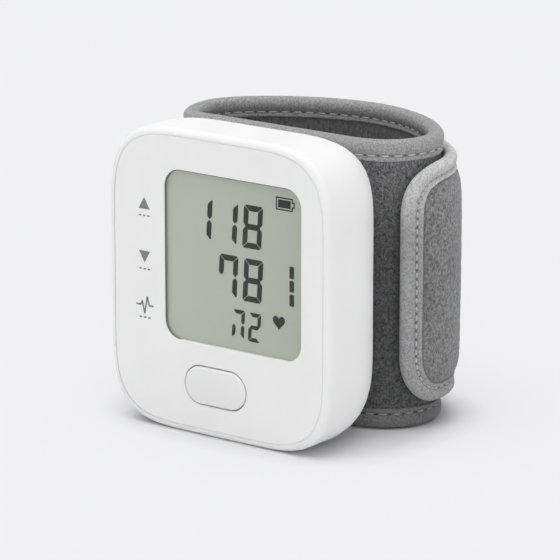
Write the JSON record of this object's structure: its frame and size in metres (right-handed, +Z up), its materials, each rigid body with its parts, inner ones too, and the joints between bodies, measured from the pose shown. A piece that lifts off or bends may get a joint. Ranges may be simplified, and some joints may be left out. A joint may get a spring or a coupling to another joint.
{
  "type": "wrist blood pressure monitor",
  "caption": "White wrist blood pressure monitor with a large display and one start button on a grey fabric cuff that opens at an arm and a hook-and-loop strap",
  "frame": {"origin": "on the table, under the middle of the flat strip of the case's bottom face that the monitor stands on", "axes": "+Z up; the display faces -Y; +X is to the right of someone who looks at the display, so the cuff lies behind the case on +Y"},
  "size_m": [0.0733, 0.0677, 0.0736],
  "materials": {
    "case_white": "satin white moulded plastic",
    "fascia_white": "fine matt white moulded plastic",
    "button_white": "matt white moulded plastic",
    "lens_clear": "clear flat window",
    "lcd_glass": "grey-green reflective display",
    "inner_white": "plain white moulded plastic",
    "dark_plastic": "dark moulded plastic",
    "board_green": "green lacquered board",
    "steel": "bright plated steel",
    "silicone": "translucent silicone rubber",
    "cell_sleeve": "printed dark sleeve over steel",
    "felt": "grey heathered felted loop cloth",
    "lining_cloth": "dark grey knitted cloth",
    "binding_tape": "light grey folded cloth tape, stitched",
    "bladder_film": "welded soft film",
    "hook_tape": "dark grey hook tape"
  },
  "bodies": {
    "monitor": {"housing_shell": "case_white", "fascia": "fascia_white", "display_lens": "lens_clear", "lcd_panel": "lcd_glass", "lcd_frame": "inner_white", "lcd_connector_top": "dark_plastic", "lcd_connector_bottom": "dark_plastic", "start_switch": "dark_plastic", "main_board": "board_green", "board_screw_1": "steel", "board_screw_2": "steel", "board_screw_3": "steel", "board_screw_4": "steel", "controller_chip": "dark_plastic", "buzzer": "dark_plastic", "pressure_sensor": "dark_plastic", "pump_motor": "steel", "pump_head": "inner_white", "release_valve": "dark_plastic", "air_manifold": "silicone", "cuff_air_port": "inner_white", "battery_tray": "dark_plastic", "battery_cell_front": "cell_sleeve", "battery_cell_back": "cell_sleeve", "battery_spring_front": "steel", "battery_spring_back": "steel", "contact_positive": "steel", "contact_negative": "steel", "contact_bridge": "steel", "cuff_screw_1": "steel", "cuff_screw_2": "steel", "cuff_screw_3": "steel", "cuff_screw_4": "steel", "cuff_cover": "felt", "cuff_curler": "inner_white", "cuff_bladder": "bladder_film", "cuff_lining": "lining_cloth", "cuff_binding_top": "binding_tape", "cuff_binding_bottom": "binding_tape"},
    "button": {"start_button": "button_white", "switch_plunger": "button_white"},
    "door": {"battery_door": "case_white"},
    "arm": {"cuff_arm_cover": "felt", "cuff_arm_curler": "inner_white", "cuff_arm_bladder": "bladder_film", "cuff_arm_lining": "lining_cloth", "cuff_arm_binding_top": "binding_tape", "cuff_arm_binding_bottom": "binding_tape", "strap_root": "felt"},
    "strap": {"strap_panel": "felt", "strap_binding": "binding_tape", "hook_patch": "hook_tape"}
  },
  "joints": [
    {"name": "start_button_press", "type": "slide", "parent": "monitor", "child": "button", "axis": [0, 1, 0], "range_m": [0, 0.0005], "stiffness_N_per_m": 3000},
    {"name": "battery_door_pull", "type": "slide", "parent": "monitor", "child": "door", "axis": [-1, 0, 0], "range_m": [0, 0.012]},
    {"name": "cuff_arm_open", "type": "hinge", "parent": "monitor", "child": "arm", "pos_m": [-0.02021, 0.05344, 0.0354], "axis": [0, 0, 1], "range_deg": [0, 60], "stiffness_Nm_per_rad": 0.02},
    {"name": "strap_peel", "type": "hinge", "parent": "arm", "child": "strap", "pos_m": [0.02422, 0.05342, 0.0361], "axis": [0, 0, 1], "range_deg": [0, 90]}
  ]
}
